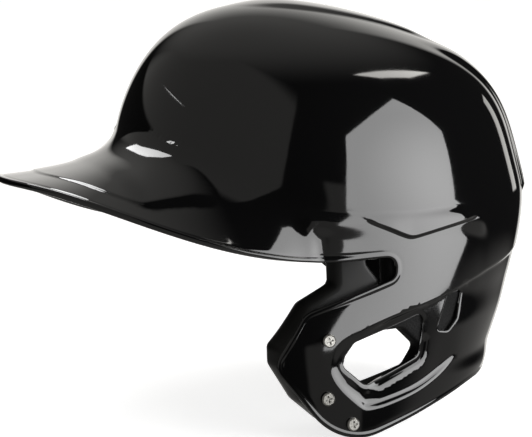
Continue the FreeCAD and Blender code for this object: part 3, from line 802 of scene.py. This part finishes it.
EVEN_WINDOW = (0.3, 0.7)
KNIT_GROUND, KNIT_LOOP = (0.004, 0.004, 0.005, 1.0), (0.028, 0.028, 0.031, 1.0)
SATIN = moulded("satin_padding", (0.008, 0.008, 0.0077), 0.4, 1400.0, 0.05)
FOAM = moulded("closed_cell_foam", (0.003, 0.003, 0.0031), 0.8, 700.0, 0.35)
LINER = moulded("matte_liner", (0.010, 0.010, 0.010), 0.5, 1100.0, 0.12)
FABRIC = knitted("knit_fabric")
SCREW_STEEL, NUT_STEEL = plated_steel("screw_steel", 0.34), plated_steel("nut_steel", 0.42)

shell = build("shell", *shell_mesh(), gloss_plastic(), "shell")
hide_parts("outer_shell")
CARRIED_OVER = [("jaw_guard_liner", LINER)]
CARRIED_OVER += [("jaw_screw_" + place, SCREW_STEEL) for place in ("upper", "lower", "chin")]
CARRIED_OVER += [("jaw_nut_" + place, NUT_STEEL) for place in ("upper", "lower", "chin")]
for node_name, paint in CARRIED_OVER:
    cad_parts[node_name].data.materials.clear()
    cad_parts[node_name].data.materials.append(paint)


# ---------------- padding
FOAM_LAYER, COMFORT_LAYER, JAW_LAYER, EAR_LAYER = (3.7, 12.5), (13.2, 19.8), (6.6, 21.8), (3.7, 20.4)
BROW = [(60.5, 53.5, 11), (60.5, 87.5, 11), (0, 99, 70), (-60.5, 87.5, 11), (-60.5, 53.5, 11),
        (0, 65, 54)]
BROW_COMFORT = [(57, 57, 10), (57, 85, 10), (0, 96, 80), (-57, 85, 10),
                (-57, 57, 10), (0, 69, 60)]
CROWN_PLAN = [(42, -86, 34), (42, 22, 34), (-42, 22, 34), (-42, -86, 34)]
CROWN_COMFORT = [(38, -82, 31), (38, 18, 31), (-38, 18, 31), (-38, -82, 31)]
SIDE = [(-42, 11, 14), (48, 9, 14), (44, 78, 26), (-36, 82, 26)]
SIDE_COMFORT = [(-38, 15, 11), (44, 13, 11), (40, 74, 23), (-33, 78, 23)]
TEMPLE_PAD = [(-60, 27, 6), (-48, 27, 6), (-46, 76, 12), (-72, 76, 12), (-89, 52, 8)]
REAR = [(56, -4, 14), (56, 66, 24), (-56, 66, 24), (-56, -4, 14)]
REAR_COMFORT = [(52, 0, 11), (52, 62, 21), (-52, 62, 21), (-52, 0, 11)]
NAPE = [(46, -62, 12), (46, -12, 12), (-46, -12, 12), (-46, -62, 12)]
JAW_REAR = [(-31, -93, 1.5), (-38, -87, 4), (-48, -74, 4), (-48, -60, 4)]
JAW_PAD = [
    (-41, 5, 4), (-41.5, -19.5, 3), (-58, -29, 6), (-74, -52, 6), (-74, -63, 6),
    (-65, -82, 8), (-51, -96, 10), (-32, -96.5, 3),
] + JAW_REAR + [(-40.5, -48, 4), (-18, -33, 3), (-16.5, -18, 2), (-23, -9, 3), (-23, 5, 4)]
EAR_PAD = [
    (-13.5, -2, 5), (34, 0, 12), (38, -70, 14), (6, -84, 10), (-24, -91, 6),
    (-34, -85, 5), (-45, -71, 3), (-45, -58, 3), (-37, -46, 4), (-13.5, -34, 4),
]
EAR_PAD_HOLE = [
    (-36, -47, 3), (-6.5, -47, 2.5), (5.5, -58.8, 2), (-1.5, -67.6, 2), (-28, -74, 3),
    (-41.5, -66, 2.5),
]
# each view: the pair of coordinates it shows, and the part of the form it looks at
VIEWS = {
    "side": ([1, 2], lambda flat, point: point[:, 0] > 0.0),
    "front": ([0, 2], lambda flat, point: (point[:, 1] < -20.0) & (point[:, 2] > 30.0)),
    "top": ([0, 1], lambda flat, point: point[:, 2] > 70.0),
    "rear": ([0, 2], lambda flat, point: point[:, 1] > 20.0),
}
PAD_ROWS, PAD_STEP, OUTLINE_STEP = (0.5, 1.2, 2.2, 3.6), 3.0, 1.6
CROWN_REACH = 22.0  # how far in from its edge a pad keeps getting fuller


FOAM_REACH = (1.5, 3.0)  # the rounding of the edge towards the shell and towards the head


def turned(loop, clockwise=False):
    return loop if (signed_area(loop) > 0.0) != clockwise else loop[::-1]


def edge_distance(points, loops):
    return np.min([np.abs(signed_distance(points, loop, closed=True)[0]) for loop in loops], axis=0)


def rise(distance, reach):
    """A quarter-round edge: 0 at the edge, 1 from the given distance inwards."""
    return np.sqrt(1.0 - (1.0 - np.clip(distance / reach, 0.0, 1.0)) ** 2)


def faced_out(vertices, polygons):
    """The polygons, all turned over if they face into the closed shape."""
    polygons = np.asarray(polygons)
    corner = vertices[polygons]
    volume = np.einsum("ij,ij->i", corner[:, 0], np.cross(corner[:, 1], corner[:, 2])).sum()
    return polygons if volume > 0.0 else polygons[:, ::-1]


def pad_mesh(corners, view, layer, reach, holes=(), margin=0.4, crown=0.0, straight=False):
    """A closed pad between two depths of the form, round-edged, fuller on the head's side."""
    axes, keep = VIEWS[view]
    loops = [turned(rounded(corners, OUTLINE_STEP, True))]
    loops += [turned(rounded(hole, OUTLINE_STEP, True), clockwise=True) for hole in holes]
    loops = [loop + left_normals(loop, True) * margin for loop in loops]
    rows = []
    for loop in loops:
        for distance in PAD_ROWS:
            row = loop + left_normals(loop, True) * distance
            rows.append(row[edge_distance(row, loops) > 0.9 * distance])
    low, high = loops[0].min(axis=0), loops[0].max(axis=0)
    row_step = PAD_STEP * ROW_RATIO
    across, up = np.meshgrid(np.arange(low[0], high[0], PAD_STEP), np.arange(low[1], high[1], row_step))
    across = across + (np.arange(len(across)) % 2)[:, None] * PAD_STEP / 2.0
    grid = np.column_stack((across.ravel(), up.ravel()))
    grid = grid[within(grid, loops)]
    grid = grid[edge_distance(grid, loops) > PAD_ROWS[-1] + 0.5 * PAD_STEP]
    flat, faces, source = triangulated(np.vstack(loops + rows + [grid]), loops)
    distance = edge_distance(flat, loops)
    middle = sum(layer) / 2.0
    place = locate(flat, axes, lambda spot: form(spot, middle), keep)
    if straight:
        far = form(locate(flat, axes, lambda spot: form(spot, layer[0]), keep), layer[0])
        near = form(locate(flat, axes, lambda spot: form(spot, layer[1]), keep), layer[1])
    else:
        far, near = form(place, layer[0]), form(place, layer[1])
    outer_share = 0.5 - 0.5 * rise(distance, reach[0])
    fullness = 1.0 - crown + crown * smooth_step(distance / CROWN_REACH)
    inner_share = 0.5 + 0.5 * rise(distance, reach[1]) * fullness
    vertices = np.vstack([far + (near - far) * share[:, None] for share in (outer_share, inner_share)])
    shared = (source >= 0) & (source < sum(len(loop) for loop in loops))
    faces = faces[~shared[faces].all(axis=1)]
    numbers = np.arange(len(flat))
    inner_index = np.where(shared, numbers, len(flat) + numbers)
    polygons = faced_out(vertices, np.vstack((faces, inner_index[faces][:, ::-1])))
    used, index = np.unique(polygons, return_inverse=True)
    return vertices[used], index.reshape(-1, 3).tolist(), loops


def mirror_mesh(vertices, polygons, *_):
    """The same mesh on the wearer's other side."""
    return vertices * (-1.0, 1.0, 1.0), [polygon[::-1] for polygon in polygons]


def mesh_arrays(mesh):
    points = np.empty(len(mesh.vertices) * 3)
    mesh.vertices.foreach_get("co", points)
    return points.reshape(-1, 3), [list(polygon.vertices) for polygon in mesh.polygons]


def evaluated(piece):
    graph = bpy.context.evaluated_depsgraph_get()
    graph.update()
    return bpy.data.meshes.new_from_object(piece.evaluated_get(graph))


# voxels and the cap in metres
VOXEL, SWELL_FRAMES, SWELL_CAP, SWELL_PRESSURE = 0.003, 20, 0.0016, 4.0
SEAM_DEPTH, SEAM_WIDTH, BORDER_IN, PIPING = 1.7, 1.7, 6.0, 1.0
HEAD_CENTRE = np.array((0.0, 0.0, 20.0))


def swollen(vertices, polygons):
    """A fabric cover filled by its foam: cloth under pressure, with how far it may move capped."""
    cushion = bpy.data.objects.new("swelling", plain_mesh("swelling", vertices, polygons))
    bpy.context.collection.objects.link(cushion)
    remesh = cushion.modifiers.new("remesh", "REMESH")
    remesh.mode = "VOXEL"
    remesh.voxel_size = VOXEL
    cushion.data = evaluated(cushion)
    cushion.modifiers.clear()
    start, _ = mesh_arrays(cushion.data)
    cloth = cushion.modifiers.new("cloth", "CLOTH")
    cloth.settings.use_pressure = True
    cloth.settings.uniform_pressure_force = SWELL_PRESSURE
    cloth.settings.effector_weights.gravity = 0.0
    cloth.settings.quality = 5
    for frame_number in range(1, SWELL_FRAMES + 1):
        bpy.context.scene.frame_set(frame_number)
    swelled, _ = mesh_arrays(evaluated(cushion))
    move = swelled - start
    length = np.linalg.norm(move, axis=1, keepdims=True)
    settled = start + move * np.minimum(1.0, SWELL_CAP / np.maximum(length, 1e-9))
    cushion.modifiers.clear()
    cushion.data.vertices.foreach_set("co", settled.ravel())
    cushion.data.update()
    cushion.modifiers.new("finer", "SUBSURF").levels = 1
    points, faces = mesh_arrays(evaluated(cushion))
    bpy.context.scene.frame_set(1)
    bpy.data.objects.remove(cushion)
    return points * 1000.0, faces


def vertex_normals(vertices, polygons):
    mesh = plain_mesh("normals", vertices, polygons)
    normals = np.array([tuple(item.vector) for item in mesh.vertex_normals])
    bpy.data.meshes.remove(mesh)
    return normals


def stitched(vertices, polygons, axes, seams):
    """Sewn channels pressed into the head's side along seam lines drawn in the pad's own view."""
    normals = vertex_normals(vertices, polygons)
    inward = np.clip(-np.einsum("ij,ij->i", normals, unit(vertices - HEAD_CENTRE)) / 0.5, 0.0, 1.0)
    depth = np.zeros(len(vertices))
    for path, closed in seams:
        gap = np.abs(signed_distance(vertices[:, axes], path, closed)[0])
        depth = np.maximum(depth, SEAM_DEPTH * np.exp(-((gap / SEAM_WIDTH) ** 2)))
    return vertices - normals * (depth * inward)[:, None]


def tube(loop, radius, sides=8):
    """A closed cord round a loop of points."""
    along = unit(np.roll(loop, -1, axis=0) - np.roll(loop, 1, axis=0))
    outwards = unit(loop - loop.mean(axis=0))
    first = unit(np.cross(along, outwards))
    second = np.cross(first, along)
    turns = 2.0 * math.pi * np.arange(sides) / sides
    rings = [loop + (first * math.cos(turn) + second * math.sin(turn)) * radius for turn in turns]
    vertices = np.vstack(rings)
    count = len(loop)
    step = np.arange(count)
    ahead = (step + 1) % count
    faces = []
    for side in range(sides):
        near, far = side * count, (side + 1) % sides * count
        faces += np.column_stack((near + step, near + ahead, far + ahead, far + step)).tolist()
    return vertices, faced_out(vertices, faces).tolist()


def joined(*meshes):
    vertices, faces, start = [], [], 0
    for points, polygons in meshes:
        vertices.append(points)
        faces += [[index + start for index in polygon] for polygon in polygons]
        start += len(points)
    return np.vstack(vertices), faces


def padded_piece(name, node_name, mesh, material, slot_name):
    piece = build(name, mesh[0], mesh[1], material, slot_name)
    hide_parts(node_name)


def foam_piece(name, node_name, mesh, material=FOAM):
    padded_piece(name, node_name, mesh, material, "dark_foam")


def comfort_piece(name, node_name, mesh):
    padded_piece(name, node_name, mesh, FABRIC, "comfort_fabric")


def comfort_mesh(corners, view, channels):
    """A fabric pad: swollen cover, a sewn border, sewn channels and piping round its edge."""
    axes, keep = VIEWS[view]
    layer = (COMFORT_LAYER[0] + 0.7, COMFORT_LAYER[1] - 0.8)
    vertices, polygons, loops = pad_mesh(corners, view, layer, (2.4, 5.0), margin=1.2, crown=0.25)
    vertices, polygons = swollen(vertices, polygons)
    border = loops[0] + left_normals(loops[0], True) * BORDER_IN
    border = border[edge_distance(border, loops) > BORDER_IN - 0.4]
    seams = [(border, True)] + [(np.array(channel, dtype=float), False) for channel in channels]
    vertices = stitched(vertices, polygons, axes, seams)
    middle = sum(COMFORT_LAYER) / 2.0
    edge = locate(loops[0], axes, lambda spot: form(spot, middle), keep)
    return joined((vertices, polygons), tube(respaced(form(edge, middle), 2.0, True), PIPING))


foam_piece("jaw_guard_padding", "jaw_guard_pad",
           pad_mesh(JAW_PAD, "side", JAW_LAYER, (2.5, 3.5), margin=0.1, straight=True), SATIN)
foam_piece("ear_padding", "ear_pad",
           pad_mesh(EAR_PAD, "side", EAR_LAYER, (2.0, 7.0), holes=[EAR_PAD_HOLE], straight=True))
for piece_name, node_name, corners, view, layer, reach in (
    ("brow_lining", "brow_foam", BROW, "front", FOAM_LAYER, FOAM_REACH),
    ("crown_lining", "crown_foam", CROWN_PLAN, "top", FOAM_LAYER, FOAM_REACH),
    ("rear_lining", "rear_foam", REAR, "rear", FOAM_LAYER, FOAM_REACH),
    ("nape_padding", "nape_pad", NAPE, "rear", EAR_LAYER, (2.0, 8.0)),
):
    foam_piece(piece_name, node_name, pad_mesh(corners, view, layer, reach))
for piece_name, node_name, corners, reach in (
    ("side_lining", "side_foam", SIDE, FOAM_REACH), ("temple_padding", "temple_pad", TEMPLE_PAD, (1.5, 4.0)),
):
    pad = pad_mesh(corners, "side", FOAM_LAYER, reach)
    foam_piece("left_" + piece_name, "left_" + node_name, pad)
    foam_piece("right_" + piece_name, "right_" + node_name, mirror_mesh(*pad))
comfort_piece("brow_cushion", "brow_pad", comfort_mesh(BROW_COMFORT, "front", [
    [(-22, 60), (-21, 100)], [(22, 60), (21, 100)]]))
comfort_piece("crown_cushion", "crown_pad", comfort_mesh(CROWN_COMFORT, "top", [
    [(0, -78), (0, 14)], [(-34, -48), (34, -48)], [(-34, -16), (34, -16)]]))
comfort_piece("rear_cushion", "rear_pad", comfort_mesh(REAR_COMFORT, "rear", [
    [(-17, 4), (-17, 58)], [(17, 4), (17, 58)]]))
side_comfort = comfort_mesh(SIDE_COMFORT, "side", [[(-16, 18), (-13, 74)], [(16, 16), (15, 72)]])
comfort_piece("left_side_cushion", "left_side_pad", side_comfort)
comfort_piece("right_side_cushion", "right_side_pad", mirror_mesh(*side_comfort))


# ---------------- camera
AZIMUTH, ELEVATION, ROLL = 62.0, 9.0, math.radians(-1.75)
DISTANCE, FOCAL, SENSOR = 1.2, 2040.0, 36.0
FRAME_WIDTH, FRAME_HEIGHT = 532, 437
AXIS_X, AXIS_Y = 324.2, 221.9  # where the frame's origin is seen


def toward(azimuth, elevation):
    """A direction: azimuth from the front (0) round by the left (90), elevation upwards, in degrees."""
    azimuth, elevation = math.radians(azimuth), math.radians(elevation)
    return Vector((
        math.sin(azimuth) * math.cos(elevation), -math.cos(azimuth) * math.cos(elevation), math.sin(elevation)
    ))


def add_camera():
    """The camera, turned so that the frame's origin is seen off the middle as in the photograph."""
    back = toward(AZIMUTH, ELEVATION)
    level = Vector((math.cos(math.radians(AZIMUTH)), math.sin(math.radians(AZIMUTH)), 0.0))
    upright = back.cross(level)
    right = level * math.cos(ROLL) + upright * math.sin(ROLL)
    up = upright * math.cos(ROLL) - level * math.sin(ROLL)
    aim = -back + right * ((FRAME_WIDTH / 2.0 - AXIS_X) / FOCAL)
    aim += up * ((AXIS_Y - FRAME_HEIGHT / 2.0) / FOCAL)
    aim.normalize()
    side_axis = aim.cross(up).normalized()
    data = bpy.data.cameras.new("camera")
    data.sensor_width = SENSOR
    data.lens = SENSOR * FOCAL / FRAME_WIDTH
    camera = bpy.data.objects.new("camera", data)
    bpy.context.collection.objects.link(camera)
    camera.location = back * DISTANCE
    camera.rotation_mode = "QUATERNION"
    axes = Matrix((side_axis, side_axis.cross(aim), -aim)).transposed()
    camera.rotation_quaternion = axes.to_quaternion()
    bpy.context.scene.camera = camera


add_camera()


# ---------------- studio
class Studio:
    """The dark studio as a world: soft panels of light set by their corner directions."""

    def __init__(self):
        self.world = bpy.data.worlds.new("studio")
        self.world.use_nodes = True
        self.tree = self.world.node_tree
        self.direction = add_node(self.tree, "TexCoord").outputs["Generated"]

    def math(self, operation, first, second):
        return add_node(self.tree, "Math", {0: first, 1: second}, operation=operation).outputs[0]

    def along(self, axis):
        inputs = {0: self.direction, 1: axis}
        return add_node(self.tree, "VectorMath", inputs, operation="DOT_PRODUCT").outputs["Value"]

    def ramp(self, value, start, end, low=0.0, high=1.0):
        inputs = {"Value": value, "From Min": start, "From Max": end, "To Min": low, "To Max": high}
        return add_node(self.tree, "MapRange", inputs, interpolation_type="SMOOTHSTEP").outputs["Result"]

    def panel(self, corners, softness, level):
        """A flat panel between corner directions; softness is one number or one for each edge."""
        directions = [toward(*corner) for corner in corners]
        middle = sum(directions, Vector()).normalized()
        mask = None
        for index, corner in enumerate(directions):
            normal = corner.cross(directions[(index + 1) % len(directions)]).normalized()
            normal = normal if normal.dot(middle) > 0.0 else -normal
            soft = softness[index] if isinstance(softness, tuple) else softness
            edge = self.ramp(self.along(normal), -soft, soft)
            mask = edge if mask is None else self.math("MULTIPLY", mask, edge)
        return self.math("MULTIPLY", mask, level)

    def finish(self, lights, backdrop):
        """The brightest light in each direction, and an even backdrop for the camera."""
        total = lights[0]
        for light in lights[1:]:
            total = self.math("MAXIMUM", total, light)
        seen = add_node(self.tree, "LightPath").outputs["Is Camera Ray"]
        hidden = self.math("MULTIPLY", total, self.math("SUBTRACT", 1.0, seen))
        background = self.tree.nodes["Background"]
        background.inputs["Color"].default_value = WARM_WHITE
        strength = self.math("ADD", hidden, self.math("MULTIPLY", seen, backdrop))
        self.tree.links.new(strength, background.inputs["Strength"])
        bpy.context.scene.world = self.world


def light_card(name, corners, brightness):
    """A one-sided panel of light, in two brightnesses from its middle out, unseen by the camera."""
    middle = sum(corners, Vector()) / len(corners)
    mesh = bpy.data.meshes.new(name)
    mesh.from_pydata([corner - middle for corner in corners], [], [tuple(range(len(corners)))])
    material, tree, shader = new_material(name, (0.0, 0.0, 0.0), 1.0)
    tree.nodes.remove(shader)
    length = add_node(tree, "VectorMath", {0: object_place(tree)}, operation="LENGTH").outputs["Value"]
    inputs = {"Value": length, "From Min": 0.0, "From Max": CARD_REACH, "To Min": brightness[0],
              "To Max": brightness[1]}
    fall = add_node(tree, "MapRange", inputs, interpolation_type="SMOOTHSTEP")
    glow = add_node(tree, "Emission", {"Strength": fall.outputs["Result"]}).outputs["Emission"]
    clear = add_node(tree, "BsdfTransparent").outputs["BSDF"]
    behind = add_node(tree, "NewGeometry").outputs["Backfacing"]
    mix = add_node(tree, "MixShader", {0: behind, 1: glow, 2: clear}).outputs["Shader"]
    tree.links.new(mix, tree.nodes["Material Output"].inputs["Surface"])
    mesh.materials.append(material)
    card = bpy.data.objects.new(name, mesh)
    card.location = middle
    card.visible_camera = False
    card.visible_shadow = False
    bpy.context.collection.objects.link(card)


WARM_WHITE = (1.0, 0.98, 0.94, 1.0)
CARD_REACH = 0.40  # metres from the middle of a card to its dimmer level

# the side window stands 600 mm off, squarely to the left and a little behind
WINDOW_FACING, WINDOW_AWAY = toward(115.0, 0.0), 0.600
WINDOW_ACROSS = Vector((0.0, 0.0, 1.0)).cross(WINDOW_FACING)
WINDOW_CORNERS = [
    (-0.37, -0.12), (-0.20, -0.12), (-0.10, -0.15), (0.24, -0.18), (0.40, -0.11), (0.40, -0.09),
    (0.24, -0.02), (0.27, 0.10), (0.30, 0.26), (0.15, 0.58), (-0.28, 0.32),
]
light_card("side_window", [WINDOW_FACING * WINDOW_AWAY + WINDOW_ACROSS * across + Vector((0.0, 0.0, up))
                           for across, up in reversed(WINDOW_CORNERS)], (8.8, 6.0))

# the brow light hangs over the bill, its back to the dome
CARD_FACING = Vector((-0.28, -0.45, -0.85)).normalized()
CARD_ACROSS = CARD_FACING.cross(Vector((0.0, 0.0, 1.0))).normalized()
CARD_RISE = CARD_ACROSS.cross(CARD_FACING)
CARD_PLACE = Vector((0.005, -0.165, 0.125))
CARD_CORNERS = [(0.13, 0.09), (0.03, -0.01), (0.0, -0.028), (-0.02, -0.03), (-0.015, -0.015), (0.005, 0.02),
                (0.055, 0.08), (0.085, 0.13)]
light_card("brow_light", [CARD_PLACE + CARD_ACROSS * across + CARD_RISE * up
                          for across, up in CARD_CORNERS], (11.0, 11.0))

# each panel: its corners as (azimuth, elevation), the softness of its edges, its brightness
PANELS = (
    # in front, above and below the brow
    ([(-84, 19), (-26, 13), (63, 13), (76, 50), (60, 70), (-20, 76)],
     (0.02, 0.01, 0.01, 0.12, 0.15, 0.12), 0.37),
    ([(-26, 14.5), (-24, -10), (57, -10), (63.5, 14.5)], 0.01, 0.37),
    # the bright slit along the dome, and the strip behind
    ([(136, 60), (157, 57), (176, 48.5), (189.5, 38), (170, 45.5), (150, 53.5)], 0.006, 8.5),
    ([(208, -5), (206, 13), (200, 13), (200, -5)], 0.01, 2.0),
    # a glow under the jaw guard, and the backdrop to the right
    ([(78, -2), (106, -4), (106, -18), (78, -18)], 0.03, 0.33),
    ([(-96, -40), (-96, 42), (-141, 42), (-141, -40)], (0.06, 0.40, 0.04, 0.05), 1.15),
)
BACKDROP = 1.1
studio = Studio()
lights = [studio.panel(*panel) for panel in PANELS]
lights.append(studio.ramp(studio.along(Vector((-0.35, 0.0, 0.937))), 0.60, 0.98, 0.012, 0.5))  # the ceiling
lights.append(studio.ramp(studio.along(Vector((0.0, 0.0, -1.0))), 0.22, 0.32, 0.012, 0.42))  # the pale floor
studio.finish(lights, BACKDROP)
bpy.context.scene.view_settings.view_transform = "Standard"


def add_floor():
    """A plain pale floor, just under the object and lit evenly of itself."""
    mesh = bpy.data.meshes.new("floor")
    corners = [(-FLOOR_SIZE, -FLOOR_SIZE, 0.0), (FLOOR_SIZE, -FLOOR_SIZE, 0.0), (FLOOR_SIZE, FLOOR_SIZE, 0.0),
               (-FLOOR_SIZE, FLOOR_SIZE, 0.0)]
    mesh.from_pydata(corners, [], [(0, 1, 2, 3)])
    paint, _, _ = new_material("pale_floor", (0.7, 0.7, 0.7), 0.9, Emission_Color=(1.0, 1.0, 1.0, 1.0),
                               Emission_Strength=0.75)
    mesh.materials.append(paint)
    floor = bpy.data.objects.new("floor", mesh)
    floor.location.z = cad_bounds[0].z - FLOOR_GAP
    floor.visible_glossy = False
    floor.visible_diffuse = False
    bpy.context.collection.objects.link(floor)


FLOOR_SIZE, FLOOR_GAP = 6.0, 0.001
add_floor()
